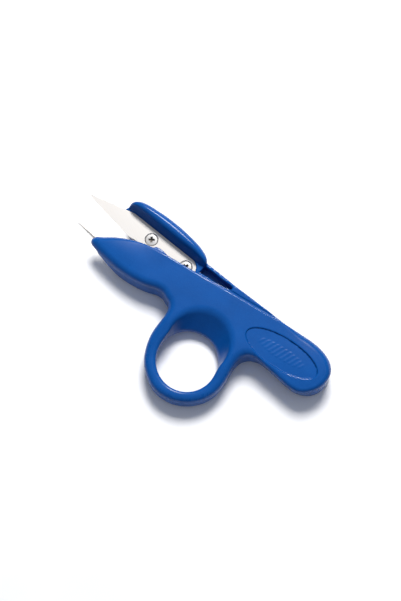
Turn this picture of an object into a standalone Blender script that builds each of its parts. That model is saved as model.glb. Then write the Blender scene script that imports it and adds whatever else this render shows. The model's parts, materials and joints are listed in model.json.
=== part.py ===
"""Spring-action thread snips with a finger ring.

A moulded handle carries the lower blade on the inner side of its front wall.
A thumb lever behind that wall carries the upper blade, and a springy arm, moulded
in one with both, joins the lever to the palm end.  The arm bends, so the lever
swings about an axis near the middle of the arm.

Design axes: +X runs from the blade tips to the palm end, +Y from the finger ring
to the thumb lever, +Z from the face that lies on the table to the front face.
All numbers below are millimetres in the design frame; PLACE moves the finished
parts so that the origin is the centre of the footprint.
"""
import math

import bmesh
import bpy
from mathutils import Matrix, Vector

MM = 0.001

# ---------------------------------------------------------------- dimensions
PLACE = (1.52, 9.68, 0.0)          # design frame -> part frame

BODY_T = 12.0                      # handle thickness
WALL_REAR = 8.25                   # rear side of the front wall
WALL_TOP = 7.7                     # top edge of the front wall
EDGE_R = 1.0                       # edge rounding of the handle

RING_C = (8.9, -24.7)              # finger ring
HOLE_R = 12.35
RING_Z = (0.2, 10.0)
SCOOP_C = (9.2, -15.2)             # where the slanted finger passage meets the front
SCOOP_R = 13.0

OVAL_C = (39.4, -3.3)              # badge recess on the palm
OVAL_R = (16.2, 6.2)
OVAL_TILT = math.radians(-2.2)
OVAL_DEPTH = 0.6

HINGE = (20.0, 8.0)                # middle of the bending stretch of the arm
LEVER_Z = (1.2, 6.8)               # lever plate
SEAT_Z = 5.65                      # floor of the blade seat
PAD_Z = (0.2, 12.2)                # thumb pad
ARM_Z = (1.5, 6.5)                 # bending stretch
SPLIT_X = 9.5                      # lever ends here, the bending stretch begins

BLADE_T = 1.2
UPPER_Z = (5.70, 6.88)
LOWER_Z = (6.98, 8.16)
UPPER_SCREW = (-30.4, 11.4)        # front screw of the upper blade
UPPER_TILT = math.radians(-8.53)
LOWER_SCREW = (-27.7, 0.95)        # front screw of the lower blade
LOWER_TILT = math.radians(0.5)
SCREW_PITCH = 18.2

HEAD_R, SHANK_R = 2.6, 1.25        # M2.5 countersunk screw
HEAD_H = 1.05
SCREW_LEN = 4.2
CSK_R, HOLE_SHANK_R = 2.85, 1.5

# ---------------------------------------------------------------- scene set-up
for old in list(bpy.data.objects):
    bpy.data.objects.remove(old, do_unlink=True)
for old in list(bpy.data.collections):
    bpy.data.collections.remove(old)
SCENE = bpy.context.scene
PARTS = bpy.data.collections.new("thread_snips")
TOOLS = bpy.data.collections.new("cutters")
SCENE.collection.children.link(PARTS)
SCENE.collection.children.link(TOOLS)


def material(name, colour, roughness, metallic):
    m = bpy.data.materials.new(name)
    m.use_nodes = True
    b = m.node_tree.nodes["Principled BSDF"]
    b.inputs["Base Color"].default_value = (*colour, 1.0)
    b.inputs["Roughness"].default_value = roughness
    b.inputs["Metallic"].default_value = metallic
    return m


def hide_cutter(obj):
    obj.hide_render = True
    obj.display_type = "WIRE"


def link(obj, where):
    where.objects.link(obj)
    return obj


def baked(obj):
    """The object's evaluated mesh, with its modifiers or curve settings applied."""
    bpy.context.view_layer.update()
    dg = bpy.context.evaluated_depsgraph_get()
    return bpy.data.meshes.new_from_object(obj.evaluated_get(dg), depsgraph=dg)


def mesh_object(name, mesh, where=PARTS, matrix=None):
    bm = bmesh.new()
    bm.from_mesh(mesh)
    if matrix is not None:
        bm.transform(matrix)
    bmesh.ops.remove_doubles(bm, verts=bm.verts, dist=1e-6)
    bmesh.ops.recalc_face_normals(bm, faces=bm.faces)
    bm.to_mesh(mesh)
    bm.free()
    obj = link(bpy.data.objects.new(name, mesh), where)
    if where is TOOLS:
        hide_cutter(obj)
    return obj


def curve_plate(name, loops, z0, z1, rounded=0.0, steps=4, arc=2, smooth=True, where=PARTS):
    """A flat plate from closed outlines (the first is the outside), z0 to z1, with
    rounded edges.  The rounding keeps the outline's own size."""
    cu = bpy.data.curves.new(name, "CURVE")
    cu.dimensions = "2D"
    cu.fill_mode = "BOTH"
    cu.resolution_u = steps
    cu.render_resolution_u = 0
    for pts in loops:
        if smooth:
            s = cu.splines.new("BEZIER")
            s.bezier_points.add(len(pts) - 1)
            for bp, p in zip(s.bezier_points, pts):
                bp.co = (p[0] * MM, p[1] * MM, 0)
                kind = "VECTOR" if len(p) > 2 else "AUTO"
                bp.handle_left_type = bp.handle_right_type = kind
        else:
            s = cu.splines.new("POLY")
            s.points.add(len(pts) - 1)
            for q, p in zip(s.points, pts):
                q.co = (p[0] * MM, p[1] * MM, 0, 1)
        s.use_cyclic_u = True
    cu.extrude = ((z1 - z0) / 2 - rounded) * MM
    if rounded:
        cu.bevel_depth = rounded * MM
        cu.bevel_resolution = arc
        cu.offset = -rounded * MM
    tmp = link(bpy.data.objects.new(name + "_curve", cu), TOOLS)
    tmp.location = (0, 0, (z0 + z1) / 2 * MM)
    mesh = baked(tmp)
    bpy.context.view_layer.update()
    mw = tmp.matrix_world.copy()
    bpy.data.objects.remove(tmp, do_unlink=True)
    mesh.name = name
    return mesh_object(name, mesh, where, mw)


def circle(c, r, n=32, r2=None, tilt=0.0):
    r2 = r if r2 is None else r2
    out = []
    for i in range(n):
        a = 2 * math.pi * i / n
        x, y = r * math.cos(a), r2 * math.sin(a)
        out.append((c[0] + x * math.cos(tilt) - y * math.sin(tilt),
                    c[1] + x * math.sin(tilt) + y * math.cos(tilt)))
    return out


def cone(name, r_low, r_high, z0, z1, at=(0.0, 0.0), n=32, shear=(0.0, 0.0), where=TOOLS):
    """A cone or cylinder from z0 to z1.  shear moves the top sideways."""
    mesh = bpy.data.meshes.new(name)
    bm = bmesh.new()
    h = z1 - z0
    bmesh.ops.create_cone(bm, cap_ends=True, segments=n, radius1=r_low, radius2=r_high, depth=h)
    m = Matrix.Translation((0, 0, h / 2))
    sh = Matrix.Identity(4)
    sh[0][2], sh[1][2] = shear[0] / h, shear[1] / h
    bm.transform(Matrix.Scale(MM, 4) @ Matrix.Translation((at[0], at[1], z0)) @ sh @ m)
    bm.to_mesh(mesh)
    bm.free()
    return mesh_object(name, mesh, where)


def block(name, size, matrix, where=TOOLS):
    mesh = bpy.data.meshes.new(name)
    bm = bmesh.new()
    bmesh.ops.create_cube(bm, size=1.0)
    bm.transform(Matrix.Scale(MM, 4) @ matrix @ Matrix.Diagonal((*size, 1)))
    bm.to_mesh(mesh)
    bm.free()
    return mesh_object(name, mesh, where)


def combine(target, other, how):
    mod = target.modifiers.new(how.lower(), "BOOLEAN")
    mod.operation = how
    mod.solver = "EXACT"
    mod.object = other
    mesh = baked(target)
    target.modifiers.clear()
    old = target.data
    target.data = mesh
    bpy.data.meshes.remove(old)
    bpy.data.objects.remove(other, do_unlink=True)
    return target


def at_angle(origin, tilt):
    """Matrix of a flat frame at origin, turned by tilt about Z (millimetres)."""
    return Matrix.Translation((origin[0], origin[1], 0)) @ Matrix.Rotation(tilt, 4, "Z")


def moved(points, origin, tilt, flip=1):
    out = []
    for x, y, *k in points:
        y *= flip
        out.append((origin[0] + x * math.cos(tilt) - y * math.sin(tilt),
                    origin[1] + x * math.sin(tilt) + y * math.cos(tilt), *k))
    return out


BLUE = material("body_plastic", (0.017, 0.107, 0.407), 0.38, 0.0)
STEEL = material("blade_steel", (0.78, 0.77, 0.75), 0.22, 1.0)
SCREW_STEEL = material("screw_steel", (0.72, 0.72, 0.72), 0.28, 1.0)

# ---------------------------------------------------------------- handle body
# Outline seen from the front, from the nose along the top edge to the palm end and back.
BODY = [
    (-50.6, -1.9), (-49.4, -0.4), (-46.8, 1.6), (-42.4, 4.2), (-37.3, 6.0), (-31.8, 7.2),
    (-26.0, WALL_TOP), (-12.0, WALL_TOP), (10.0, WALL_TOP), (28.0, WALL_TOP), (34.0, 7.8), (39.0, 8.0),
    (44.0, 8.0), (48.5, 7.6), (52.0, 6.8), (55.2, 5.5), (57.8, 3.7), (59.5, 1.4),
    (60.2, -1.5), (60.0, -4.9), (58.9, -7.7), (56.7, -10.1), (53.8, -11.6), (50.6, -12.1),
    (47.0, -11.7), (42.0, -10.6), (38.0, -9.7), (34.5, -9.2), (31.0, -9.4), (24.0, -10.6),
    (8.0, -10.6), (-4.0, -9.0), (-12.0, -6.8), (-16.5, -6.2), (-20.8, -7.2), (-25.5, -7.8),
    (-30.7, -7.8), (-35.1, -7.4), (-39.4, -6.6), (-43.0, -5.6), (-46.6, -4.4), (-49.6, -2.9),
]
body = curve_plate("handle_body", [BODY], 0, BODY_T, rounded=EDGE_R, steps=3)

# Ring with its web to the body.
RING = [
    (-14.8, -5.0), (-12.4, -7.3), (-10.0, -8.6), (-8.6, -10.6), (-8.2, -13.6), (-8.3, -17.0),
    (-8.4, -21.0), (-7.9, -25.5), (-6.9, -29.5), (-5.2, -33.3), (-2.9, -36.3), (0.4, -39.1),
    (4.4, -41.0), (9.0, -41.6), (13.6, -40.9), (17.6, -39.1), (21.0, -36.4), (23.6, -33.0),
    (25.2, -28.9), (25.8, -24.5), (25.7, -19.5), (26.0, -15.0), (27.2, -12.1), (29.3, -10.2),
    (32.0, -8.8), (31.0, -5.0), (20.0, -4.0), (-8.0, -4.0),
]
ring = curve_plate("ring_plate", [RING], *RING_Z, rounded=2.0, steps=3, where=TOOLS)
combine(body, ring, "UNION")

# Guard lug on the inner side of the wall: the thumb pad stops on it.
LUG = [(-28.0, 4.0, 1), (-27.2, 7.0), (-26.6, 8.2), (-25.6, 8.7), (-23.8, 8.7), (-21.8, 8.3),
       (-19.8, 7.4), (-18.6, 4.0, 1)]
lug = curve_plate("lug", [LUG], WALL_REAR, 11.5, rounded=0.3, steps=3, arc=1, where=TOOLS)
combine(body, lug, "UNION")

# Space behind the front wall for the blades and the lever, open at the top and the rear.
CHANNEL = [
    (-75.0, 40.0), (-75.0, -4.0), (-6.0, -4.0), (-2.5, -1.2), (6.0, -1.2), (12.0, 2.4), (32.6, 2.4),
    (34.0, 2.9), (34.6, 4.3), (37.5, 4.3), (37.5, 40.0),
]
combine(body, curve_plate("channel", [CHANNEL], -2.0, WALL_REAR, smooth=False, where=TOOLS), "DIFFERENCE")

# The rear of the nose rises towards the tip.
taper = Matrix.Translation((-34.0, -5, 0)) @ Matrix.Rotation(math.radians(23.5), 4, "Y") \
    @ Matrix.Translation((-20, 0, -10))
combine(body, block("nose_taper", (40, 40, 20), taper), "DIFFERENCE")

# Finger hole with a rounded rim, and the slanted passage that leads to it.
hole = [(HOLE_R + 2.2 * (1 - math.cos(math.radians(a))), 5.1 + 5.0 * math.sin(math.radians(a)))
        for a in range(75, -76, -25)]
hole = [(0.0, 14.0), (hole[0][0] + 1.6, 14.0)] + hole + [(hole[-1][0] + 1.6, -2.0), (0.0, -2.0)]
prof = bpy.data.meshes.new("hole_profile")
prof.from_pydata([(r * MM, 0, z * MM) for r, z in hole], [(i, i + 1) for i in range(len(hole) - 1)], [])
cutter = link(bpy.data.objects.new("finger_hole", prof), TOOLS)
cutter.location = (RING_C[0] * MM, RING_C[1] * MM, 0)
sc = cutter.modifiers.new("turn", "SCREW")
sc.steps = sc.render_steps = 56
sc.use_merge_vertices = True
sc.merge_threshold = 1e-5
sc.use_normal_calculate = True
m = baked(cutter)
mw = cutter.matrix_world.copy()
bpy.data.objects.remove(cutter, do_unlink=True)
combine(body, mesh_object("finger_hole", m, TOOLS, mw), "DIFFERENCE")

drop = 13.5 - 2.0
lean = ((SCOOP_C[0] - RING_C[0]) * drop / 10.0, (SCOOP_C[1] - RING_C[1]) * drop / 10.0)
grow = (SCOOP_R - HOLE_R) * drop / 10.0
combine(body, cone("passage", HOLE_R, HOLE_R + grow, 2.0, 13.5, at=RING_C, n=56, shear=lean), "DIFFERENCE")

# Shallow oval recess on the palm.
combine(body, curve_plate("oval", [circle(OVAL_C, OVAL_R[0], 48, OVAL_R[1], OVAL_TILT)],
                          BODY_T - OVAL_DEPTH, BODY_T + 2, smooth=False, where=TOOLS), "DIFFERENCE")

# Blind holes for the lower blade's screws, from the inner side of the wall.
LOWER_HOLES = moved([(0, 0), (SCREW_PITCH, 0)], LOWER_SCREW, LOWER_TILT)
UPPER_HOLES = moved([(0, 0), (SCREW_PITCH, 0)], UPPER_SCREW, UPPER_TILT)
for i, h in enumerate(LOWER_HOLES):
    combine(body, cone("pilot%d" % i, HOLE_SHANK_R, HOLE_SHANK_R, 6.0, LOWER_Z[0] + SCREW_LEN + 0.3, at=h, n=24),
            "DIFFERENCE")

# ---------------------------------------------------------------- thumb lever
def on_lever(x, y):
    """A point given along and across the upper blade's screw line."""
    return moved([(x, y)], UPPER_SCREW, UPPER_TILT)[0]


LEVER = [
    (*on_lever(-14.5, 4.6), 1), on_lever(-13.6, 1.5), on_lever(-9.5, -2.2), on_lever(-4.0, -3.7),
    on_lever(8.0, -3.7), on_lever(18.0, -3.7), (-6.0, 4.8), (0.0, 5.4), (SPLIT_X, 6.0, 1),
    (SPLIT_X, 12.35, 1), (5.8, 12.95), (1.6, 13.6), (-2.5, 14.2), (-6.0, 14.7), (-12.0, 16.3), (-30.0, 19.0),
]
lever = curve_plate("thumb_lever", [LEVER], *LEVER_Z, rounded=0.5, steps=3, arc=1)

PAD = [
    (-46.3, 16.9, 1), (-45.0, 19.4), (-44.0, 20.7), (-42.0, 21.8), (-38.9, 22.2), (-34.5, 22.1),
    (-29.1, 21.7), (-23.5, 20.9), (-17.5, 19.6), (-12.9, 18.3), (-9.7, 17.1), (-7.5, 15.8), (-6.4, 14.5),
    (-6.1, 13.0, 1), on_lever(20.5, 4.35), on_lever(8.0, 4.35), on_lever(-6.0, 4.35), on_lever(-14.5, 4.35),
]
pad = curve_plate("pad", [PAD], *PAD_Z, rounded=1.2, steps=3, where=TOOLS)
# Undercut flank: from the blade's front plane outwards to the pad's front edge.
flank = at_angle(UPPER_SCREW, UPPER_TILT) @ Matrix.Translation((0, 4.30, 7.0)) \
    @ Matrix.Rotation(math.radians(-44.0), 4, "X") @ Matrix.Translation((0, -15, 10))
combine(pad, block("flank", (90, 30, 20), flank), "DIFFERENCE")
combine(lever, pad, "UNION")
# Rear corner of the pad, below the blade line, is relieved so that only the lever plate is left.
relief = at_angle(UPPER_SCREW, UPPER_TILT) @ Matrix.Translation((0, 4.30 - 10, 6.8 + 10))
combine(lever, block("front_relief", (90, 20, 20), relief), "DIFFERENCE")

# The blade's outline, along and across its screw line; the spine is at +Y.
BLADE = [(-33.06, -1.42), (-12.8, 4.2), (-9.0, 4.25), (SCREW_PITCH, 4.2)]
BLADE += [(SCREW_PITCH + 4.2 * math.sin(math.radians(a)), 4.2 * math.cos(math.radians(a)))
          for a in range(15, 181, 15)]
BLADE += [(-4.5, -4.2), (-7.2, -4.75), (-9.6, -4.75)]


def grown(points, by):
    """The outline moved outwards by a small amount (clockwise outline)."""
    out = []
    n = len(points)
    for i in range(n):
        a, b, c = (Vector(points[j % n][:2]) for j in (i - 1, i, i + 1))
        n1 = Vector((-(b - a).y, (b - a).x)).normalized()
        n2 = Vector((-(c - b).y, (c - b).x)).normalized()
        m_ = (n1 + n2).normalized()
        out.append(tuple(b + m_ * by / max(0.5, m_.dot(n1))))
    return out


seat = curve_plate("seat", [moved(grown(BLADE, 0.15), UPPER_SCREW, UPPER_TILT)], SEAT_Z, 7.0,
                   smooth=False, where=TOOLS)
combine(lever, seat, "DIFFERENCE")
# Below the seat the plate stays under the blade.
under = at_angle(UPPER_SCREW, UPPER_TILT) @ Matrix.Translation((-4, -13.6, SEAT_Z + 5))
combine(lever, block("under", (44, 20, 10), under), "DIFFERENCE")

# Weight-saving pocket between the blade's rear end and the bending stretch.
POCKET = [(-6.6, 9.85, 1), (6.8, 9.85), (8.2, 10.3), (8.3, 11.0), (7.0, 11.6), (2.8, 12.0), (-1.3, 12.7),
          (-6.0, 13.3, 1)]
combine(lever, curve_plate("pocket", [POCKET], 2.6, 9.0, steps=3, where=TOOLS), "DIFFERENCE")
for i, h in enumerate(UPPER_HOLES):
    combine(lever, cone("tap%d" % i, HOLE_SHANK_R, HOLE_SHANK_R, UPPER_Z[1] - SCREW_LEN - 0.3, 9.0, at=h, n=24),
            "DIFFERENCE")

# ---------------------------------------------------------------- bending stretch
ARM = [
    (SPLIT_X + 0.2, 12.3, 1), (13.0, 12.0), (16.0, 11.7), (19.1, 11.3), (22.1, 10.9), (26.2, 10.4),
    (30.3, 9.8), (34.0, 9.3), (37.25, 8.9, 1), (37.25, 4.5, 1), (34.9, 4.5, 1), (32.5, 5.2), (28.0, 5.6),
    (SPLIT_X + 0.2, 6.05, 1),
]
arm = curve_plate("spring_arm", [ARM], *ARM_Z, rounded=0.8, steps=3)


# ---------------------------------------------------------------- blades
def blade(name, origin, tilt, flip, z0, z1, head_side):
    """A flat blade.  flip mirrors it across its screw line; head_side +1 puts the
    screw heads on the front side, and the ground edge on the other side."""
    outline = moved(BLADE, origin, tilt, flip)
    holes = [circle(c, HOLE_SHANK_R, 24) for c in moved([(0, 0), (SCREW_PITCH, 0)], origin, tilt)]
    obj = curve_plate(name, [outline] + holes, z0, z1, smooth=False)
    mid = (z0 + z1) / 2
    for i, c in enumerate(moved([(0, 0), (SCREW_PITCH, 0)], origin, tilt)):
        if head_side > 0:
            combine(obj, cone("csk%d" % i, 1.30, CSK_R + 0.3, z1 - 1.25, z1 + 0.3, at=c, n=32), "DIFFERENCE")
        else:
            combine(obj, cone("csk%d" % i, CSK_R + 0.3, 1.30, z0 - 0.3, z0 + 1.25, at=c, n=32), "DIFFERENCE")
    # Ground edge: a wedge taken off along the cutting edge, on the side away from the mate.
    (x0, y0), (x1, y1) = moved([(-33.06, -1.42), (-9.6, -4.75)], origin, tilt, flip)
    along = math.atan2(y1 - y0, x1 - x0)
    zc = z0 if head_side > 0 else z1
    keep = z1 - 0.12 if head_side > 0 else z0 + 0.12
    slope = math.radians(20.0) * flip * head_side
    m_ = Matrix.Translation(((x0 + x1) / 2, (y0 + y1) / 2, keep)) @ Matrix.Rotation(along, 4, "Z") \
        @ Matrix.Rotation(-slope, 4, "X") @ Matrix.Translation((0, 0, -5.0 * head_side))
    combine(obj, block("grind", (60, 8, 10), m_), "DIFFERENCE")
    return obj


upper = blade("upper_blade", UPPER_SCREW, UPPER_TILT, 1, *UPPER_Z, 1)
lower = blade("lower_blade", LOWER_SCREW, LOWER_TILT, -1, *LOWER_Z, -1)


# ---------------------------------------------------------------- screws
def screw_mesh():
    """Countersunk cross-recess screw, head face at z = 0, shank down."""
    prof_pts = [(0.0, 0.0), (HEAD_R, 0.0), (HEAD_R, -0.12), (SHANK_R, -HEAD_H),
                (SHANK_R, -(SCREW_LEN - 0.5)), (SHANK_R - 0.4, -SCREW_LEN), (0.0, -SCREW_LEN)]
    me = bpy.data.meshes.new("screw_profile")
    me.from_pydata([(r * MM, 0, z * MM) for r, z in prof_pts], [(i, i + 1) for i in range(len(prof_pts) - 1)], [])
    ob = link(bpy.data.objects.new("screw_turned", me), TOOLS)
    mod = ob.modifiers.new("turn", "SCREW")
    mod.steps = mod.render_steps = 32
    mod.use_merge_vertices = True
    mod.merge_threshold = 1e-5
    mod.use_normal_calculate = True
    me2 = baked(ob)
    bpy.data.objects.remove(ob, do_unlink=True)
    s = mesh_object("screw_turned", me2, TOOLS)
    for k, ang in enumerate((0, 90)):
        bar = Matrix.Rotation(math.radians(ang + 20), 4, "Z") @ Matrix.Translation((0, 0, -0.25))
        combine(s, block("recess%d" % k, (2.7, 0.55, 1.2), bar), "DIFFERENCE")
    me3 = s.data
    me3.name = "countersunk_screw"
    me3.use_fake_user = True
    bpy.data.objects.remove(s, do_unlink=True)
    return me3


SCREW = screw_mesh()
screws = []
for name, place, z, up in (
    ("upper_blade_front_screw", UPPER_HOLES[0], UPPER_Z[1], True),
    ("upper_blade_rear_screw", UPPER_HOLES[1], UPPER_Z[1], True),
    ("lower_blade_front_screw", LOWER_HOLES[0], LOWER_Z[0], False),
    ("lower_blade_rear_screw", LOWER_HOLES[1], LOWER_Z[0], False),
):
    ob = link(bpy.data.objects.new(name, SCREW), PARTS)
    ob.location = (place[0] * MM, place[1] * MM, z * MM)
    ob.rotation_euler = (0, 0 if up else math.pi, UPPER_TILT if up else 0)
    screws.append(ob)

# ---------------------------------------------------------------- materials, pivot, placing
for obj, mat in ((body, BLUE), (lever, BLUE), (arm, BLUE), (upper, STEEL), (lower, STEEL)):
    obj.data.materials.clear()
    obj.data.materials.append(mat)
    obj.data.shade_smooth()
    obj.data.set_sharp_from_angle(angle=math.radians(35))
SCREW.materials.clear()
SCREW.materials.append(SCREW_STEEL)
SCREW.shade_smooth()
SCREW.set_sharp_from_angle(angle=math.radians(35))

root = link(bpy.data.objects.new("snips_origin", None), PARTS)
root.location = tuple(v * MM for v in PLACE)
pivot = link(bpy.data.objects.new("lever_pivot", None), PARTS)
pivot.parent = root
pivot.location = (HINGE[0] * MM, HINGE[1] * MM, 0)
for obj in (body, lower, arm, screws[2], screws[3]):
    obj.parent = root
back = Matrix.Translation((-HINGE[0] * MM, -HINGE[1] * MM, 0))
for obj in (lever, upper, screws[0], screws[1]):
    obj.parent = pivot
    obj.matrix_parent_inverse = back
bpy.context.view_layer.update()
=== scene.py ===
import json
import math

import bmesh
import bpy
import numpy as np
from mathutils import Matrix, Vector


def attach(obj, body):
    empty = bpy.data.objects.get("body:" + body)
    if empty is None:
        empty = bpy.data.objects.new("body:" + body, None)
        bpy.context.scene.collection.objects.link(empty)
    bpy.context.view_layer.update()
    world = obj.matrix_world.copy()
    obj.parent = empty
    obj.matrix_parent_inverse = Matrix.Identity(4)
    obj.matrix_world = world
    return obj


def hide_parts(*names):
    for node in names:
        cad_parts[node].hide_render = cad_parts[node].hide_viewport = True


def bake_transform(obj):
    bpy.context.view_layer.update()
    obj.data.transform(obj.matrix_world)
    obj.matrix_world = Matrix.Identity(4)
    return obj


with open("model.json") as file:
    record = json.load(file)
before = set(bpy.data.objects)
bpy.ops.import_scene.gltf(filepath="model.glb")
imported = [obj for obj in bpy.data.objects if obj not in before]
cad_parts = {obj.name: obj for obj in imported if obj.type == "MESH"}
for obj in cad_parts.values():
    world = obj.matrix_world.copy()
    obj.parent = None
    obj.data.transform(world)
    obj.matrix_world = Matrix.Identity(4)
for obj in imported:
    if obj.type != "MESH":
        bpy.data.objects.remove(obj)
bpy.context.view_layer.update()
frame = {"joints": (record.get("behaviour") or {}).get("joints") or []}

# The shapes below are in millimetres in the design frame, where the hinge axis is at
# (20, 8).  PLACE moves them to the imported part's frame.
MM = 0.001
HINGE = (20.0, 8.0)
pivot = frame["joints"][0]["pos_m"]
PLACE = Vector((pivot[0] - HINGE[0] * MM, pivot[1] - HINGE[1] * MM, 0.0))


# =========================================================== outlines and distance fields
def outline(points, steps=6):
    """A closed smooth outline through the points; a third value marks a corner."""
    pts = [np.array(p[:2], float) for p in points]
    n = len(pts)
    before, after = [], []
    for i, p in enumerate(pts):
        a, b = p - pts[i - 1], pts[(i + 1) % n] - p
        la, lb = np.linalg.norm(a), np.linalg.norm(b)
        if len(points[i]) > 2:
            before.append(p - a / 3)
            after.append(p + b / 3)
        else:
            t = a / la + b / lb
            k = np.linalg.norm(t) * 2.5614
            before.append(p - t * la / k)
            after.append(p + t * lb / k)
    out = []
    for i in range(n):
        j = (i + 1) % n
        for k in range(steps):
            t = k / steps
            out.append((1 - t) ** 3 * pts[i] + 3 * (1 - t) ** 2 * t * after[i]
                       + 3 * (1 - t) * t * t * before[j] + t ** 3 * pts[j])
    return np.array(out)


class Shape2D:
    """Signed distance to a closed outline, or to the union of several, negative inside,
    read from a fine grid.  blur rounds the corners where outlines meet."""

    def __init__(self, *polys, h=0.22, pad=4.0, blur=0):
        polys = [np.asarray(p, float) for p in polys]
        self.h = h
        self.lo = np.concatenate(polys).min(0) - pad
        hi = np.concatenate(polys).max(0) + pad
        self.n = np.ceil((hi - self.lo) / h).astype(int) + 1
        x = self.lo[0] + h * np.arange(self.n[0])
        y = self.lo[1] + h * np.arange(self.n[1])
        gx, gy = (g.astype(np.float32) for g in np.meshgrid(x, y, indexing="ij"))
        best = np.full(gx.shape, 1e9, np.float32)
        inside = np.zeros(gx.shape, bool)
        for poly in polys:
            inside |= self.covers(poly, gx, gy)
            mid = (poly + np.roll(poly, -1, 0)) / 2
            hidden = np.zeros(len(poly), bool)
            for other in polys:
                if other is not poly:
                    hidden |= self.covers(other, mid[:, 0], mid[:, 1])
            for (ax, ay), (bx, by), skip in zip(poly, np.roll(poly, -1, 0), hidden):
                if skip:
                    continue
                ex, ey = bx - ax, by - ay
                t = np.clip(((gx - ax) * ex + (gy - ay) * ey) / (ex * ex + ey * ey + 1e-12), 0, 1)
                best = np.minimum(best, (gx - ax - t * ex) ** 2 + (gy - ay - t * ey) ** 2)
        self.v = np.sqrt(best) * np.where(inside, -1, 1)
        for _ in range(blur):
            for ax in (0, 1):
                a = np.roll(self.v, 1, ax)
                b = np.roll(self.v, -1, ax)
                near = np.abs(self.v) < 5
                self.v = np.where(near, (a + 2 * self.v + b) / 4, self.v)

    @staticmethod
    def covers(poly, x, y):
        inside = np.zeros(x.shape, bool)
        for (ax, ay), (bx, by) in zip(poly, np.roll(poly, -1, 0)):
            if ay != by:
                inside ^= ((ay > y) != (by > y)) & (x < ax + (y - ay) * (bx - ax) / (by - ay))
        return inside

    def __call__(self, x, y):
        u = (x - self.lo[0]) / self.h
        w = (y - self.lo[1]) / self.h
        cu = np.clip(u, 0, self.n[0] - 1.001)
        cw = np.clip(w, 0, self.n[1] - 1.001)
        i, j = cu.astype(int), cw.astype(int)
        fu, fw = cu - i, cw - j
        v = self.v
        d = (v[i, j] * (1 - fu) + v[i + 1, j] * fu) * (1 - fw) \
            + (v[i, j + 1] * (1 - fu) + v[i + 1, j + 1] * fu) * fw
        return d + np.hypot(u - cu, w - cw) * self.h


def step(a, b, x):
    """0 before a, 1 after b, smooth between."""
    t = np.clip((x - a) / (b - a), 0, 1)
    return t * t * (3 - 2 * t)


def smin(a, b, k):
    h = np.maximum(k - np.abs(a - b), 0) / k
    return np.minimum(a, b) - h * h * k / 4


def smax(a, b, k):
    return -smin(-a, -b, k)


def plate(d, z, z0, z1, r_rear, r_front):
    """A plate of outline distance d from z0 to z1 with rounded edges."""
    mid, half = (z0 + z1) / 2, (z1 - z0) / 2
    r = np.where(z > mid, r_front, r_rear)
    a, b = d + r, np.abs(z - mid) - half + r
    return np.minimum(np.maximum(a, b), 0) + np.hypot(np.maximum(a, 0), np.maximum(b, 0)) - r


# =========================================================== meshing a distance field
def surface_net(f, lo, hi, h):
    """Quads on the zero surface of f, one corner in each grid cell it passes through."""
    lo, hi = np.array(lo, float), np.array(hi, float)
    n = np.ceil((hi - lo) / h).astype(int) + 1
    axes = [lo[a] + h * np.arange(n[a]) for a in range(3)]
    gx, gy, gz = np.meshgrid(*axes, indexing="ij")
    v = f(gx.ravel(), gy.ravel(), gz.ravel()).reshape(gx.shape)
    neg = v < 0
    corners = [(i, j, k) for i in (0, 1) for j in (0, 1) for k in (0, 1)]

    def at(array, c):
        return array[c[0]:n[0] - 1 + c[0], c[1]:n[1] - 1 + c[1], c[2]:n[2] - 1 + c[2]]

    count = sum(at(neg, c).astype(np.int8) for c in corners)
    cell = (count > 0) & (count < 8)
    index = np.full(cell.shape, -1, int)
    index[cell] = np.arange(cell.sum())
    ijk = np.argwhere(cell)
    total, hits = np.zeros((len(ijk), 3)), np.zeros(len(ijk))
    for a in corners:
        for ax in range(3):
            if a[ax]:
                continue
            b = list(a)
            b[ax] = 1
            va, vb = at(v, a)[cell], at(v, b)[cell]
            cut = (va < 0) != (vb < 0)
            t = np.where(cut, va / np.where(cut, va - vb, 1), 0)
            p = np.tile(np.array(a, float), (len(ijk), 1))
            p[:, ax] += t
            total[cut] += p[cut]
            hits[cut] += 1
    points = lo + h * (ijk + total / hits[:, None])
    quads = []
    for ax in range(3):
        b, c = (ax + 1) % 3, (ax + 2) % 3
        size = list(n)
        size[ax] -= 1
        sl = [slice(None)] * 3
        sl[ax] = slice(0, n[ax] - 1)
        up = [slice(None)] * 3
        up[ax] = slice(1, n[ax])
        change = neg[tuple(sl)] != neg[tuple(up)]
        at_ = np.argwhere(change)
        at_ = at_[(at_[:, b] > 0) & (at_[:, c] > 0) & (at_[:, b] < n[b] - 1) & (at_[:, c] < n[c] - 1)]
        flip = neg[tuple(at_.T)]
        ring = []
        for db, dc in ((-1, -1), (0, -1), (0, 0), (-1, 0)):
            q = at_.copy()
            q[:, b] += db
            q[:, c] += dc
            ring.append(index[tuple(q.T)])
        ring = np.stack(ring, 1)
        ring[~flip] = ring[~flip][:, ::-1]
        quads.append(ring)
    return points, np.concatenate(quads)


def slope(f, p, e):
    g = np.empty_like(p)
    for a in range(3):
        d = np.zeros(3)
        d[a] = e
        g[:, a] = (f(*(p + d).T) - f(*(p - d).T)) / (2 * e)
    return g


def settle(f, p, rounds=6, limit=0.35):
    """Moves points onto the zero surface."""
    start = p.copy()
    for _ in range(rounds):
        g = slope(f, p, 0.04)
        p = p - (f(*p.T) / np.maximum((g * g).sum(1), 0.2))[:, None] * g
        off = p - start
        far = np.maximum(np.linalg.norm(off, axis=1) / limit, 1)
        p = start + off / far[:, None]
    return p


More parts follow.
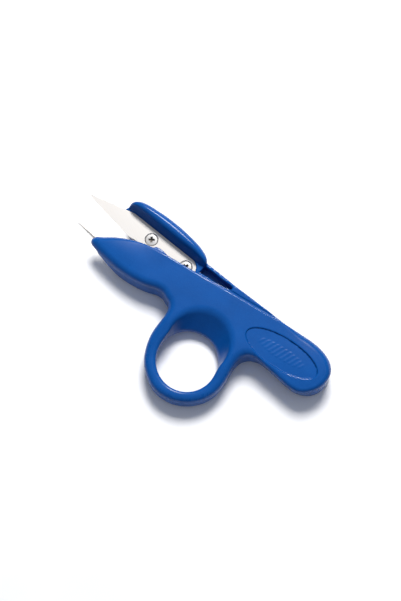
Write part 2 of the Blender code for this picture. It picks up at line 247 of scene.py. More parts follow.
def moulded(name, f, lo, hi, h, body=None, nodes=(), edge_measure=0.6, soft=0.12):
    """A mesh piece from a distance field, with its normals from the field and an
    attribute that is high on outer edges, for a painted highlight and less roughness there."""
    p, quads = surface_net(f, lo, hi, h)
    p = settle(f, p, limit=h * 0.9)
    p[:, 2] = np.maximum(p[:, 2], 0.0)
    g = slope(f, p, soft)
    normal = g / np.maximum(np.linalg.norm(g, axis=1), 1e-9)[:, None]
    around = (f(*(p + normal * 0).T))
    side = np.cross(normal, np.array([0.31, 0.52, 0.79]))
    side /= np.maximum(np.linalg.norm(side, axis=1), 1e-9)[:, None]
    other = np.cross(normal, side)
    bend = sum(f(*(p + s * edge_measure).T) for s in (side, -side, other, -other)) / 4 - around
    mesh = bpy.data.meshes.new(name)
    pm = (p * MM + np.array(PLACE)).astype(np.float32)
    mesh.vertices.add(len(pm))
    mesh.vertices.foreach_set("co", pm.ravel())
    mesh.loops.add(len(quads) * 4)
    mesh.loops.foreach_set("vertex_index", quads.ravel().astype(np.int32))
    mesh.polygons.add(len(quads))
    mesh.polygons.foreach_set("loop_start", np.arange(0, len(quads) * 4, 4, dtype=np.int32))
    mesh.update(calc_edges=True)
    mesh.validate()
    mesh.polygons.foreach_set("use_smooth", np.ones(len(mesh.polygons), bool))
    # edge attribute: drives a painted highlight and a lower roughness on outer edges
    att = mesh.attributes.new("edge_highlight_and_polish", "FLOAT", "POINT")
    att.data.foreach_set("value", np.clip(bend / edge_measure, -1, 1).astype(np.float32))
    mesh.normals_split_custom_set_from_vertices([tuple(v) for v in normal])
    obj = bpy.data.objects.new(name, mesh)
    bpy.context.scene.collection.objects.link(obj)
    if body:
        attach(obj, body)
    if nodes:
        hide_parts(*nodes)
    return obj


# =========================================================== dimensions
BODY_T, WALL_REAR, WALL_TOP = 12.0, 8.25, 7.7
RING_C, HOLE_R = (8.9, -24.7), 12.35
SCOOP_C, SCOOP_R, SCOOP_Z = (9.2, -15.7), 12.7, 12.0       # rim of the slanted passage
THROAT_C, THROAT_R, THROAT_Z = (9.0, -23.0), 10.6, 3.4     # and its lower end
OVAL_C, OVAL_R, OVAL_TILT, OVAL_DEPTH = (39.4, -3.3), (16.2, 6.2), math.radians(-2.2), 0.6
UPPER_Z, LOWER_Z, SEAT_Z = (5.70, 6.88), (6.98, 8.16), 5.65
UPPER_SCREW, UPPER_TILT = (-30.4, 11.4), math.radians(-8.53)
LOWER_SCREW, LOWER_TILT = (-27.7, 0.95), math.radians(0.5)
SCREW_PITCH, HEAD_R, SHANK_R, HEAD_H, SCREW_LEN = 18.2, 2.45, 1.25, 1.05, 4.2
CSK_R, HOLE_SHANK_R = 2.85, 1.5

BODY = [
    (-51.0, -1.7), (-50.0, 0.1), (-46.8, 1.8), (-42.4, 4.2), (-37.3, 6.0), (-31.8, 7.2),
    (-26.0, WALL_TOP), (-12.0, WALL_TOP), (10.0, WALL_TOP), (28.0, WALL_TOP), (34.0, 7.8), (39.0, 8.0),
    (44.0, 8.0), (48.5, 7.6), (52.0, 6.8), (55.2, 5.5), (57.8, 3.7), (59.5, 1.4),
    (60.2, -1.5), (60.0, -4.9), (58.9, -7.7), (56.7, -10.1), (53.8, -11.6), (50.6, -12.1),
    (47.0, -11.7), (42.0, -10.6), (38.0, -9.7), (34.5, -9.2), (31.0, -9.4), (24.0, -10.6),
    (8.0, -10.6), (-4.0, -9.0), (-12.0, -6.8), (-16.5, -6.2), (-20.8, -7.2), (-25.5, -7.8),
    (-30.7, -7.8), (-35.1, -7.4), (-39.4, -6.6), (-43.3, -5.8), (-47.0, -4.9), (-50.2, -3.5),
]
RING = [
    (-14.8, -5.0), (-12.4, -7.3), (-10.0, -8.6), (-8.6, -10.6), (-8.3, -13.6), (-8.5, -17.0),
    (-8.7, -21.0), (-8.3, -25.5), (-7.2, -29.5), (-5.4, -33.3), (-2.9, -36.3), (0.4, -39.1),
    (4.4, -41.0), (9.0, -41.6), (13.6, -40.9), (17.6, -39.1), (21.0, -36.4), (23.6, -33.0),
    (25.2, -28.9), (25.8, -24.5), (25.7, -19.5), (26.0, -15.0), (27.2, -12.1), (29.3, -10.2),
    (32.0, -8.8), (31.0, -5.0), (20.0, -4.0), (-8.0, -4.0),
]
LUG = [(-28.0, 4.0, 1), (-27.2, 7.0), (-26.6, 8.2), (-25.6, 8.7), (-23.8, 8.7), (-21.8, 8.3),
       (-19.8, 7.4), (-18.6, 4.0, 1)]
CHANNEL = [(-75.0, 40.0), (-75.0, -8.0), (-48.4, -8.0), (-46.0, -4.0), (-6.0, -4.0), (-2.5, -1.2), (6.0, -1.2), (12.0, 2.4),
           (32.6, 2.4), (34.0, 2.9), (34.6, 4.3), (37.5, 4.3), (37.5, 40.0)]
BLADE = [(-33.06, -1.42), (-12.8, 4.2), (-9.0, 4.25), (SCREW_PITCH, 4.2)]
BLADE += [(SCREW_PITCH + 4.2 * math.sin(math.radians(a)), 4.2 * math.cos(math.radians(a)))
          for a in range(10, 181, 10)]
BLADE += [(-4.5, -4.2), (-7.2, -4.75), (-9.6, -4.75)]


def moved(points, origin, tilt, flip=1):
    out = []
    for x, y, *k in points:
        y *= flip
        out.append((origin[0] + x * math.cos(tilt) - y * math.sin(tilt),
                    origin[1] + x * math.sin(tilt) + y * math.cos(tilt), *k))
    return out


def on_lever(x, y, *k):
    return moved([(x, y, *k)], UPPER_SCREW, UPPER_TILT)[0]


LEVER = [
    on_lever(-14.5, 4.6, 1), on_lever(-13.6, 1.5), on_lever(-9.5, -2.2), on_lever(-4.0, -3.7),
    on_lever(8.0, -3.7), on_lever(18.0, -3.7), (-6.0, 4.8), (0.0, 5.4), (9.6, 6.03), (20.0, 5.85),
    (28.0, 5.6), (32.5, 5.2), (34.9, 4.5, 1), (37.2, 4.5, 1), (37.2, 8.9, 1), (34.0, 9.3),
    (30.3, 9.8), (26.2, 10.4), (22.1, 10.9), (19.1, 11.3), (16.0, 11.7), (13.0, 12.0), (9.6, 12.33),
    (5.8, 12.95), (1.6, 13.6), (-2.5, 14.2), (-6.0, 14.7), (-12.0, 16.3), (-30.0, 19.0),
]
PAD = [
    (-46.3, 16.9, 1), (-45.0, 19.4), (-44.0, 20.7), (-42.0, 21.8), (-38.9, 22.2), (-34.5, 22.1),
    (-29.1, 21.7), (-23.5, 20.9), (-17.5, 19.6), (-12.9, 18.3), (-9.7, 17.1), (-7.5, 15.8),
    (-6.4, 14.5), (-6.1, 13.0, 1), on_lever(20.5, 4.35), on_lever(8.0, 4.35), on_lever(-6.0, 4.35),
    on_lever(-14.5, 4.35),
]
POCKET = [(-6.6, 9.85, 1), (6.8, 9.85), (8.2, 10.3), (8.3, 11.0), (7.0, 11.6), (2.8, 12.0),
          (-1.3, 12.7), (-6.0, 13.3, 1)]


def ellipse(c, r, tilt, n=72):
    return [(c[0] + r[0] * math.cos(a) * math.cos(tilt) - r[1] * math.sin(a) * math.sin(tilt),
             c[1] + r[0] * math.cos(a) * math.sin(tilt) + r[1] * math.sin(a) * math.cos(tilt))
            for a in (2 * math.pi * i / n for i in range(n))]


LOWER_HOLES = moved([(0, 0), (SCREW_PITCH, 0)], LOWER_SCREW, LOWER_TILT)
UPPER_HOLES = moved([(0, 0), (SCREW_PITCH, 0)], UPPER_SCREW, UPPER_TILT)

body2d = Shape2D(outline(BODY), outline(RING), blur=12)
lug2d = Shape2D(outline(LUG))
channel2d = Shape2D(CHANNEL)
oval2d = Shape2D(ellipse(OVAL_C, OVAL_R, OVAL_TILT), h=0.15)
lever2d = Shape2D(outline(LEVER))
pad2d = Shape2D(outline(PAD))
pocket2d = Shape2D(outline(POCKET), h=0.15)
seat2d = Shape2D(moved(BLADE, UPPER_SCREW, UPPER_TILT), h=0.15)


# =========================================================== handle
def front_radius(x, y):
    """Rounding of the handle's front edge: crisp along the wall, full elsewhere."""
    top = 0.75 + 1.7 * step(28, 44, -x) + 2.4 * step(32, 44, x)
    low = 3.1 - 0.5 * step(-12, -22, y) - 1.1 * step(24, 33, x)
    return top + (low - top) * step(3.0, -1.0, y)


def front_drop(x, y):
    """How far the front face lies below its highest level: domed nose and palm, and the
    ring lower than the handle."""
    nose = step(-20, -40, x)
    half = 7.6 - 4.2 * np.clip((-34 - x) / 14, 0, 1) ** 1.5
    drop = nose * 0.8 * ((y + 0.4 + 0.05 * np.maximum(-34 - x, 0)) / half) ** 2
    drop = drop + 1.1 * np.clip((-35 - x) / 15, 0, 1.2) ** 2
    drop = drop + 0.5 * step(30, 46, x) * ((y + 2.6) / 9.5) ** 2 + 0.5 * np.clip((x - 47) / 13, 0, 1) ** 2
    return drop + 2.0 * step(-13, -31, y)


def handle_field(x, y, z):
    # the finger hole is slightly oval, longer towards the lever
    turn = math.radians(31.6)
    side = (x - RING_C[0]) * math.cos(turn) + (y - RING_C[1]) * math.sin(turn)
    fore = (y - RING_C[1]) * math.cos(turn) - (x - RING_C[0]) * math.sin(turn)
    rho = np.hypot(side * 1.016, fore * 0.978)
    # the palm's lower side leans outwards towards the front
    lean = 1.3 * step(-3, -8, y) * step(27, 37, x) * step(60, 52, x)
    d = body2d(x, y) - lean * (z - 1.5) / 7.5
    w = step(-13, -25, y)
    f = plate(d - 0.3 * w, z, 0.0, BODY_T - front_drop(x, y), 1.6 + 1.2 * w, front_radius(x, y))
    # the ring's bar has full rounding on the outside, a tighter one on the hole's side
    hole = plate(HOLE_R - rho, z, 0.2, BODY_T - front_drop(x, y), 1.6, 1.5)
    f = f + (np.maximum(f, hole) - f) * w
    f = smin(f, plate(lug2d(x, y), z, WALL_REAR - 0.5, 11.5, 0.2, 0.45), 0.35)
    # slot behind the front wall
    f = smax(f, -np.maximum(channel2d(x, y), z - WALL_REAR), 0.45)
    # the rear of the nose rises towards the tip
    t = -34.0 - x
    f = smax(f, (np.minimum(0.435 * t + 0.02 * np.maximum(t, 0) ** 2, 8.3) - z) * 0.84, 0.9)
    # finger hole with a rounded rear rim, and the slanted passage up to the front face
    rim = 2.0 * (1 - np.sqrt(1 - np.clip((5.0 - z) / 5.0, 0, 0.98) ** 2))
    flare = 0.34 * np.maximum(5.8 - z, 0) * step(0.0, 0.75, fore / np.maximum(rho, 1))
    f = smax(f, HOLE_R + np.maximum(rim * (1 - w), flare) - rho, 0.3)
    k = np.clip((z - THROAT_Z) / (SCOOP_Z - THROAT_Z), -0.2, 1.3)
    cx = THROAT_C[0] + (SCOOP_C[0] - THROAT_C[0]) * k
    cy = THROAT_C[1] + (SCOOP_C[1] - THROAT_C[1]) * k
    passage = (THROAT_R + (SCOOP_R - THROAT_R) * k - np.hypot(x - cx, y - cy)) * 0.75
    f = smax(f, np.minimum(passage, z - THROAT_Z + 1.5), 1.5)
    # badge recess with plain slanted ribs on its floor
    u = (x - OVAL_C[0]) * math.cos(OVAL_TILT) + (y - OVAL_C[1]) * math.sin(OVAL_TILT)
    v = -(x - OVAL_C[0]) * math.sin(OVAL_TILT) + (y - OVAL_C[1]) * math.cos(OVAL_TILT)
    across = u - 0.45 * v
    lens = 1 - (u / 11.5) ** 2 - (v / 2.7) ** 2
    rib = 0.08 * (0.5 + 0.5 * np.cos(2 * math.pi * across / 1.9)) * step(0.0, 0.35, lens)
    floor = BODY_T - front_drop(x, y) - OVAL_DEPTH + rib
    f = smax(f, -np.maximum(oval2d(x, y), (floor - z)), 0.5)
    for hx, hy in LOWER_HOLES:
        r = np.hypot(x - hx, y - hy)
        f = np.maximum(f, -np.maximum(r - HOLE_SHANK_R, z - LOWER_Z[0] - SCREW_LEN - 0.3))
    return f


# =========================================================== lever, pad and arm
def lever_axes(x, y):
    c, s = math.cos(UPPER_TILT), math.sin(UPPER_TILT)
    dx, dy = x - UPPER_SCREW[0], y - UPPER_SCREW[1]
    return dx * c + dy * s, -dx * s + dy * c


def lever_field(x, y, z):
    u, v = lever_axes(x, y)
    thin = step(9.5, 15, x)
    low = step(9.97, 9.73, y) * step(-7.4, -6.9, x) * step(31, 27, x)
    d = lever2d(x, y)
    f = plate(d, z, 1.2 + 0.3 * thin, 6.8 - 0.3 * thin - 0.22 * low, 0.6, 0.55)
    pad = plate(pad2d(x, y) - 0.5, z, 0.2, 12.15 - 0.3 * step(-38, -47, x) - 0.8 * step(-14, -5, x), 1.4, 3.1)
    c, s = math.cos(math.radians(27)), math.sin(math.radians(27))
    flank = np.maximum(c * (v - 4.3) - s * (z - 7.0), -(s * (v - 4.3) + c * (z - 7.0)))
    pad = smax(pad, -flank, 1.5)
    f = smin(f, pad, 0.5)
    # room in front of the plate on the blade's side, the blade's seat, and the space below it
    f = smax(f, -np.maximum(v - 4.30, 6.8 - z), 0.3)
    f = smax(f, -np.maximum(seat2d(x, y) - 0.15, SEAT_Z - z), 0.25)
    f = smax(f, -np.maximum(np.maximum(v + 3.6, np.maximum(u - 18.0, -26.0 - u)), SEAT_Z - z), 0.3)
    f = smax(f, -np.maximum(pocket2d(x, y), 2.6 - z), 0.35)
    for hx, hy in UPPER_HOLES:
        r = np.hypot(x - hx, y - hy)
        f = np.maximum(f, -np.maximum(r - HOLE_SHANK_R, UPPER_Z[1] - SCREW_LEN - 0.3 - z))
    return f


FINE = 0.42
handle = moulded("handle", handle_field, (-52.0, -42.8, -0.6), (61.4, 9.8, 12.8), FINE,
                 "handle", ("handle_body",))
lever = moulded("lever_and_arm", lever_field, (-47.8, 3.4, -0.6), (38.2, 23.2, 12.9), FINE,
                nodes=("thumb_lever", "spring_arm"))
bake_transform(lever)


# =========================================================== screws
def screw_field(x, y, z):
    """Countersunk cross-recess screw, head face at z = 0, shank down."""
    r = np.hypot(x, y)
    ang = np.arctan2(y, x)
    crown = 0.10 * (1 - (r / HEAD_R) ** 2)
    head = np.maximum(z - crown + 0.10, (r - HEAD_R) * 0.75 + np.maximum(-z - 0.12, 0) * 0.85)
    head = smax(head, -z - HEAD_H, 0.1)
    turn = (z / 0.55 - ang / (2 * math.pi)) % 1.0
    thread = 0.20 * np.abs(turn - 0.5) * 2
    shank = np.maximum(r - (SHANK_R - 0.18) - (0.18 - thread) * step(-1.2, -1.6, z), -z - SCREW_LEN)
    shank = np.maximum(shank, (r - 0.9 + (-SCREW_LEN - z) * -0.9) * 0.75)
    shank = np.maximum(shank, z + 0.4)
    f = smin(head, shank, 0.15)
    half = 0.36 + 0.10 * np.clip(z + 0.6, 0, 1)
    reach = 1.14 + 0.55 * np.clip(z + 0.3, -0.9, 0.3)
    cross = np.minimum(np.maximum(np.abs(x) - reach, np.abs(y) - half),
                       np.maximum(np.abs(y) - reach, np.abs(x) - half))
    cross = smin(cross, r - 0.66 - 0.3 * z, 0.15)
    return smax(f, -np.maximum(cross, -0.85 + 0.25 * r - z), 0.08)


def screw(name, at, z, front, turn, body, node):
    h = 0.085
    p, quads = surface_net(screw_field, (-2.85, -2.85, -4.5), (2.85, 2.85, 0.3), h)
    p = settle(screw_field, p, rounds=5, limit=h * 0.9)
    g = slope(screw_field, p, 0.035)
    # mask for the painted shade: everything below the head's face, in the countersink gap and the cross recess
    deep = step(-0.13, -0.32, p[:, 2])
    normal = g / np.maximum(np.linalg.norm(g, axis=1), 1e-9)[:, None]
    m = Matrix.Translation((at[0], at[1], z)) @ Matrix.Rotation(math.radians(turn), 4, "Z")
    if not front:
        m = m @ Matrix.Rotation(math.pi, 4, "X")
    m = np.array(m)
    p = p @ m[:3, :3].T + m[:3, 3]
    normal = normal @ m[:3, :3].T
    mesh = bpy.data.meshes.new(name)
    mesh.from_pydata([tuple(v) for v in p * MM + np.array(PLACE)], [], quads.tolist())
    mesh.polygons.foreach_set("use_smooth", np.ones(len(mesh.polygons), bool))
    mesh.normals_split_custom_set_from_vertices([tuple(v) for v in normal])
    mesh.attributes.new("recess", "FLOAT", "POINT").data.foreach_set("value", deep.astype(np.float32))
    obj = bpy.data.objects.new(name, mesh)
    bpy.context.scene.collection.objects.link(obj)
    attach(obj, body)
    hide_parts(node)
    return obj


screws = [
    screw("blade_screw_upper_front", UPPER_HOLES[0], UPPER_Z[1], True, 28, "lever", "upper_blade_front_screw"),
    screw("blade_screw_upper_rear", UPPER_HOLES[1], UPPER_Z[1], True, -17, "lever", "upper_blade_rear_screw"),
    screw("blade_screw_lower_front", LOWER_HOLES[0], LOWER_Z[0], False, 41, "handle", "lower_blade_front_screw"),
    screw("blade_screw_lower_rear", LOWER_HOLES[1], LOWER_Z[0], False, 8, "handle", "lower_blade_rear_screw"),
]


# =========================================================== blades
def link(obj):
    bpy.context.scene.collection.objects.link(obj)
    return obj


def settled_mesh(obj):
    bpy.context.view_layer.update()
    dg = bpy.context.evaluated_depsgraph_get()
    return bpy.data.meshes.new_from_object(obj.evaluated_get(dg), depsgraph=dg)


def cut(target, mesh):
    tool = link(bpy.data.objects.new("tool", mesh))
    mod = target.modifiers.new("cut", "BOOLEAN")
    mod.operation, mod.solver, mod.object = "DIFFERENCE", "EXACT", tool
    new = settled_mesh(target)
    target.modifiers.clear()
    old = target.data
    target.data = new
    bpy.data.meshes.remove(old)
    bpy.data.objects.remove(tool, do_unlink=True)


def cone_mesh(at, z0, r0, z1, r1, n=64):
    mesh = bpy.data.meshes.new("cone")
    bm = bmesh.new()
    bmesh.ops.create_cone(bm, cap_ends=True, segments=n, radius1=r0, radius2=r1, depth=z1 - z0)
    bm.transform(Matrix.Translation((at[0], at[1], (z0 + z1) / 2)))
    bm.to_mesh(mesh)
    bm.free()
    return mesh


def blade(name, origin, tilt, flip, z0, z1, head_side, body, node):
    """A ground blade.  It is made in millimetres about its front screw, spine at +Y."""
    bm = bmesh.new()
    pts = [(x, y * flip) for x, y in BLADE]
    low = [bm.verts.new((x, y, z0)) for x, y in pts]
    high = [bm.verts.new((x, y, z1)) for x, y in pts]
    bm.faces.new(low)
    bm.faces.new(high[::-1])
    for i in range(len(pts)):
        j = (i + 1) % len(pts)
        bm.faces.new((low[j], low[i], high[i], high[j]))
    bmesh.ops.recalc_face_normals(bm, faces=bm.faces)
    mesh = bpy.data.meshes.new(name)
    bm.to_mesh(mesh)
    bm.free()
    obj = link(bpy.data.objects.new(name, mesh))
    for c in ((0, 0), (SCREW_PITCH, 0)):
        cut(obj, cone_mesh(c, z0 - 1, HOLE_SHANK_R, z1 + 1, HOLE_SHANK_R))
        if head_side > 0:
            cut(obj, cone_mesh(c, z1 - 1.25, 1.30, z1 + 0.3, CSK_R + 0.36))
        else:
            cut(obj, cone_mesh(c, z0 - 0.3, CSK_R + 0.36, z0 + 1.25, 1.30))
    # ground edge, on the side away from the mating blade
    (x0, y0), (x1, y1) = (-33.06, -1.42 * flip), (-9.6, -4.75 * flip)
    along = math.atan2(y1 - y0, x1 - x0)
    keep = z1 - 0.12 if head_side > 0 else z0 + 0.12
    m = Matrix.Translation(((x0 + x1) / 2, (y0 + y1) / 2, keep)) @ Matrix.Rotation(along, 4, "Z") \
        @ Matrix.Rotation(-math.radians(20.0) * flip * head_side, 4, "X") \
        @ Matrix.Translation((0, 0, -5.0 * head_side))
    wedge = bpy.data.meshes.new("wedge")
    bm = bmesh.new()
    bmesh.ops.create_cube(bm, size=1.0)
    bm.transform(m @ Matrix.Diagonal((60, 8, 10, 1)))
    bm.to_mesh(wedge)
    bm.free()
    cut(obj, wedge)
    # the spine of the point is sloped, on the side away from the mating blade
    back = math.atan2(5.62 * flip, 20.26)
    low = z1 - 0.10 if head_side > 0 else z0 + 0.10
    m = Matrix.Translation((-22.9, 1.39 * flip, low)) @ Matrix.Rotation(back, 4, "Z") \
        @ Matrix.Rotation(math.radians(57.0) * flip * head_side, 4, "X") @ Matrix.Translation((0, 0, -5.0 * head_side))
    spine = bpy.data.meshes.new("spine")
    bm = bmesh.new()
    bmesh.ops.create_cube(bm, size=1.0)
    bm.transform(m @ Matrix.Diagonal((23.5, 9, 10, 1)))
    bm.to_mesh(spine)
    bm.free()
    cut(obj, spine)
    bev = obj.modifiers.new("edge", "BEVEL")
    bev.width, bev.segments, bev.limit_method = 0.07, 2, "ANGLE"
    bev.angle_limit = math.radians(25)
    bev.use_clamp_overlap = True
    new = settled_mesh(obj)
    obj.modifiers.clear()
    obj.data = new
    co = np.empty(len(new.vertices) * 3)
    new.vertices.foreach_get("co", co)
    co = co.reshape(-1, 3)
    # mask for the painted shade inside the countersinks round the screw holes
    deep = (z1 - co[:, 2]) if head_side > 0 else (co[:, 2] - z0)
    near = np.minimum(np.hypot(co[:, 0], co[:, 1]), np.hypot(co[:, 0] - SCREW_PITCH, co[:, 1])) < 2.9
    value = step(0.03, 0.10, deep) * near
    new.attributes.new("recess", "FLOAT", "POINT").data.foreach_set("value", value.astype(np.float32))
    new.transform(Matrix.Scale(MM, 4) @ Matrix.Translation((origin[0], origin[1], 0)) @ Matrix.Rotation(tilt, 4, "Z"))
    new.transform(Matrix.Translation(PLACE))
    new.shade_smooth()
    new.set_sharp_from_angle(angle=math.radians(28))
    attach(obj, body)
    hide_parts(node)
    return obj


blades = [
    blade("moving_blade", UPPER_SCREW, UPPER_TILT, 1, *UPPER_Z, 1, "lever", "upper_blade"),
    blade("fixed_blade", LOWER_SCREW, LOWER_TILT, -1, *LOWER_Z, -1, "handle", "lower_blade"),
]


# =========================================================== materials
def nodes_of(name):
    m = bpy.data.materials.new(name)
    m.use_nodes = True
    t = m.node_tree
    return m, t, t.nodes, t.links, t.nodes["Principled BSDF"]


def add(nodes, kind, **values):
    n = nodes.new(kind)
    for k, v in values.items():
        if k in n.inputs:
            n.inputs[k].default_value = v
        else:
            setattr(n, k, v)
    return n


def ramp(nodes, stops):
    n = nodes.new("ShaderNodeValToRGB")
    while len(n.color_ramp.elements) < len(stops):
        n.color_ramp.elements.new(0.5)
    for e, (pos, col) in zip(n.color_ramp.elements, stops):
        e.position = pos
        e.color = (*col, 1.0) if len(col) == 3 else col
    return n


def plastic():
    m, t, n, l, b = nodes_of("blue_nylon")
    co = add(n, "ShaderNodeTexCoord")
    cloud = add(n, "ShaderNodeTexNoise", Scale=95.0, Detail=5.0, Roughness=0.55)
    fleck = add(n, "ShaderNodeTexNoise", Scale=1500.0, Detail=2.0, Roughness=0.6)
    grain = add(n, "ShaderNodeTexNoise", Scale=3600.0, Detail=2.0, Roughness=0.5)
    peel = add(n, "ShaderNodeTexNoise", Scale=420.0, Detail=2.0, Roughness=0.5)
    for x in (cloud, fleck, grain, peel):
        l.new(co.outputs["Object"], x.inputs["Vector"])
    base = ramp(n, [(0.30, (0.0002, 0.061, 0.262)), (0.55, (0.0006, 0.069, 0.292)), (0.78, (0.0015, 0.078, 0.318))])
    l.new(cloud.outputs["Fac"], base.inputs["Fac"])
    spots = ramp(n, [(0.42, (0.0, 0.0, 0.0)), (0.75, (1.0, 1.0, 1.0))])
    l.new(fleck.outputs["Fac"], spots.inputs["Fac"])
    mix = add(n, "ShaderNodeMix", data_type="RGBA")
    l.new(base.outputs["Color"], mix.inputs["A"])
    mix.inputs["B"].default_value = (0.006, 0.11, 0.38, 1)
    amount = add(n, "ShaderNodeMath", operation="MULTIPLY")
    amount.inputs[1].default_value = 0.22
    l.new(spots.outputs["Color"], amount.inputs[0])
    l.new(amount.outputs[0], mix.inputs["Factor"])
    # painted highlight: outer edges are made a little lighter, patchy with the cloud noise
    edge_measure = add(n, "ShaderNodeAttribute", attribute_name="edge_highlight_and_polish")
    edge = add(n, "ShaderNodeMapRange")
    edge.inputs["From Min"].default_value = 0.06
    edge.inputs["From Max"].default_value = 0.42
    edge.inputs["To Max"].default_value = 0.30
    l.new(edge_measure.outputs["Fac"], edge.inputs["Value"])
    painted_edge_highlight = add(n, "ShaderNodeMath", operation="MULTIPLY")
    l.new(edge.outputs["Result"], painted_edge_highlight.inputs[0])
    l.new(cloud.outputs["Fac"], painted_edge_highlight.inputs[1])
    edge_highlit_colour = add(n, "ShaderNodeMix", data_type="RGBA")
    l.new(mix.outputs["Result"], edge_highlit_colour.inputs["A"])
    edge_highlit_colour.inputs["B"].default_value = (0.02, 0.15, 0.46, 1)
    l.new(painted_edge_highlight.outputs[0], edge_highlit_colour.inputs["Factor"])
    l.new(edge_highlit_colour.outputs["Result"], b.inputs["Base Color"])
    rough = add(n, "ShaderNodeMapRange")
    rough.inputs["To Min"].default_value = 0.26
    rough.inputs["To Max"].default_value = 0.33
    l.new(peel.outputs["Fac"], rough.inputs["Value"])
    # and a little smoother
    polish = add(n, "ShaderNodeMapRange")
    polish.inputs["From Min"].default_value = 0.05
    polish.inputs["From Max"].default_value = 0.16
    polish.inputs["To Min"].default_value = 1.0
    polish.inputs["To Max"].default_value = 0.42
    l.new(edge_measure.outputs["Fac"], polish.inputs["Value"])
    final = add(n, "ShaderNodeMath", operation="MULTIPLY")
    l.new(rough.outputs["Result"], final.inputs[0])
    l.new(polish.outputs["Result"], final.inputs[1])
    l.new(final.outputs[0], b.inputs["Roughness"])
    b.inputs["IOR"].default_value = 1.5
    b.inputs["Specular IOR Level"].default_value = 0.25
    b1 = add(n, "ShaderNodeBump", Strength=0.07, Distance=0.0002)
    l.new(peel.outputs["Fac"], b1.inputs["Height"])
    b2 = add(n, "ShaderNodeBump", Strength=0.22, Distance=0.00003)
    l.new(grain.outputs["Fac"], b2.inputs["Height"])
    l.new(b1.outputs["Normal"], b2.inputs["Normal"])
    l.new(b2.outputs["Normal"], b.inputs["Normal"])
    return m


def steel(name, along, tint, rough_low, rough_high):
    """Ground steel: fine lines at the given angle in the floor plane."""
    m, t, n, l, b = nodes_of(name)
    co = add(n, "ShaderNodeTexCoord")
    turn = add(n, "ShaderNodeMapping")
    turn.inputs["Rotation"].default_value = (0, 0, -along)
    l.new(co.outputs["Object"], turn.inputs["Vector"])
    stretch = add(n, "ShaderNodeMapping")
    stretch.inputs["Scale"].default_value = (6000.0, 160.0, 400.0)
    l.new(turn.outputs["Vector"], stretch.inputs["Vector"])
    lines = add(n, "ShaderNodeTexNoise", Scale=1.0, Detail=3.0, Roughness=0.6)
    l.new(stretch.outputs["Vector"], lines.inputs["Vector"])
    haze = add(n, "ShaderNodeTexNoise", Scale=240.0, Detail=4.0, Roughness=0.6)
    l.new(co.outputs["Object"], haze.inputs["Vector"])
    col = ramp(n, [(0.25, tuple(c * 0.86 for c in tint)), (0.75, tint)])
    l.new(lines.outputs["Fac"], col.inputs["Fac"])
    cloudy = add(n, "ShaderNodeMix", data_type="RGBA")
    l.new(col.outputs["Color"], cloudy.inputs["A"])
    cloudy.inputs["B"].default_value = (tint[0] * 0.93, tint[1] * 0.90, tint[2] * 0.86, 1)
    l.new(haze.outputs["Fac"], cloudy.inputs["Factor"])
    # painted shade: the steel is darkened in the countersinks and the cross recesses, where shade falls
    recess = add(n, "ShaderNodeAttribute", attribute_name="recess")
    painted_recess_shade = add(n, "ShaderNodeMix", data_type="RGBA")
    l.new(recess.outputs["Fac"], painted_recess_shade.inputs["Factor"])
    l.new(cloudy.outputs["Result"], painted_recess_shade.inputs["A"])
    painted_recess_shade.inputs["B"].default_value = (0.085, 0.075, 0.065, 1)
    l.new(painted_recess_shade.outputs["Result"], b.inputs["Base Color"])
    b.inputs["Metallic"].default_value = 1.0
    rough = add(n, "ShaderNodeMapRange")
    rough.inputs["To Min"].default_value = rough_low
    rough.inputs["To Max"].default_value = rough_high
    l.new(lines.outputs["Fac"], rough.inputs["Value"])
    l.new(rough.outputs["Result"], b.inputs["Roughness"])
    bump = add(n, "ShaderNodeBump", Strength=0.18, Distance=0.00002)
    l.new(lines.outputs["Fac"], bump.inputs["Height"])
    l.new(bump.outputs["Normal"], b.inputs["Normal"])
    return m


BLUE = plastic()
for o in (handle, lever):
    o.data.materials.append(BLUE)
blades[0].data.materials.clear()
blades[1].data.materials.clear()
blades[0].data.materials.append(steel("ground_steel_moving", UPPER_TILT + math.radians(62), (0.665, 0.65, 0.63), 0.50, 0.58))
blades[1].data.materials.append(steel("ground_steel_fixed", LOWER_TILT - math.radians(62), (0.665, 0.65, 0.63), 0.50, 0.58))
bright = steel("plated_steel", 0.4, (0.54, 0.535, 0.525), 0.46, 0.54)
for o in screws:
    o.data.materials.append(bright)


# =========================================================== floor, light, camera
def floor_material():
    m, t, n, l, b = nodes_of("pale_floor")
    co = add(n, "ShaderNodeTexCoord")
    noise = add(n, "ShaderNodeTexNoise", Scale=30.0, Detail=3.0)
    l.new(co.outputs["Object"], noise.inputs["Vector"])
    col = ramp(n, [(0.3, (0.90, 0.905, 0.91)), (0.7, (0.93, 0.93, 0.935))])
    l.new(noise.outputs["Fac"], col.inputs["Fac"])
    l.new(col.outputs["Color"], b.inputs["Base Color"])
    b.inputs["Roughness"].default_value = 0.9
    b.inputs["Specular IOR Level"].default_value = 0.15
    return m


mesh = bpy.data.meshes.new("floor")
size = 2.2
mesh.from_pydata([(-size, -size, -0.00002), (size, -size, -0.00002), (size, size, -0.00002), (-size, size, -0.00002)],
                 [], [(0, 1, 2, 3)])
floor = link(bpy.data.objects.new("floor", mesh))
for o in blades + screws:
    o.visible_shadow = False
mesh.materials.append(floor_material())

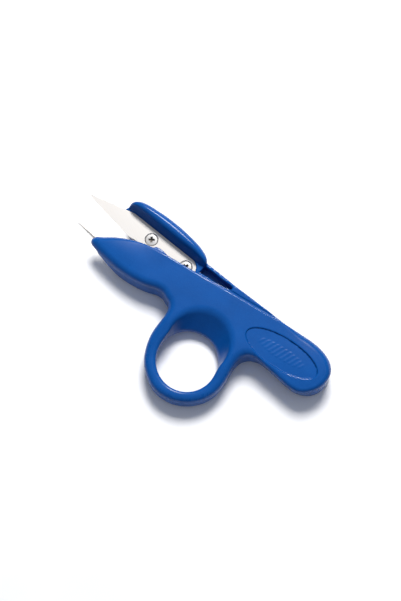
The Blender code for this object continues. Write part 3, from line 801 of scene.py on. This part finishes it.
AZ, EL = math.radians(31.6), math.radians(72.5)
ahead = Vector((-math.sin(AZ), math.cos(AZ), 0.0))          # up in the picture, along the floor
right = Vector((math.cos(AZ), math.sin(AZ), 0.0))
centre = PLACE + Vector((0.0, 0.0, 0.006))


def area(name, direction, distance, size, power, colour):
    lamp = bpy.data.lights.new(name, "AREA")
    lamp.shape, lamp.size, lamp.size_y = "RECTANGLE", size[0], size[1]
    lamp.energy, lamp.color = power, colour
    o = link(bpy.data.objects.new(name, lamp))
    d = direction.normalized()
    o.location = centre + d * distance
    o.rotation_mode = "QUATERNION"
    o.rotation_quaternion = d.to_track_quat("Z", "Y")
    return o


key = area("key", ahead * 1.0 + right * 0.20 + Vector((0, 0, 1.52)), 0.90, (0.36, 0.32), 10.4, (1.0, 0.985, 0.965))
key.visible_glossy = False
sheen = area("sheen", ahead * 1.0 + right * 0.28 + Vector((0, 0, 1.05)), 0.80, (0.14, 0.13), 6.0, (1.0, 0.99, 0.98))
sheen.visible_diffuse = False
world = bpy.data.worlds.new("studio")
bpy.context.scene.world = world
world.use_nodes = True
wn, wl = world.node_tree.nodes, world.node_tree.links
bg = wn["Background"]
where = wn.new("ShaderNodeTexCoord")
split = wn.new("ShaderNodeSeparateXYZ")
wl.new(where.outputs["Generated"], split.inputs[0])
sky = ramp(wn, [(0.0, (0.09, 0.10, 0.13)), (0.45, (0.20, 0.22, 0.27)), (1.0, (0.40, 0.43, 0.50))])
wl.new(split.outputs["Z"], sky.inputs["Fac"])
wl.new(sky.outputs["Color"], bg.inputs["Color"])
bg.inputs["Strength"].default_value = 1.0

cam_data = bpy.data.cameras.new("camera")
cam_data.lens, cam_data.sensor_width, cam_data.sensor_fit = 85.0, 36.0, "AUTO"
cam_data.clip_start, cam_data.clip_end = 0.01, 20.0
camera = link(bpy.data.objects.new("camera", cam_data))
back = Vector((math.sin(AZ) * math.cos(EL), -math.cos(AZ) * math.cos(EL), math.sin(EL)))
camera.location = centre + back * 0.570
camera.rotation_mode = "QUATERNION"
camera.rotation_quaternion = back.to_track_quat("Z", "Y")
bpy.context.scene.camera = camera
bpy.context.scene.view_settings.view_transform = "Standard"
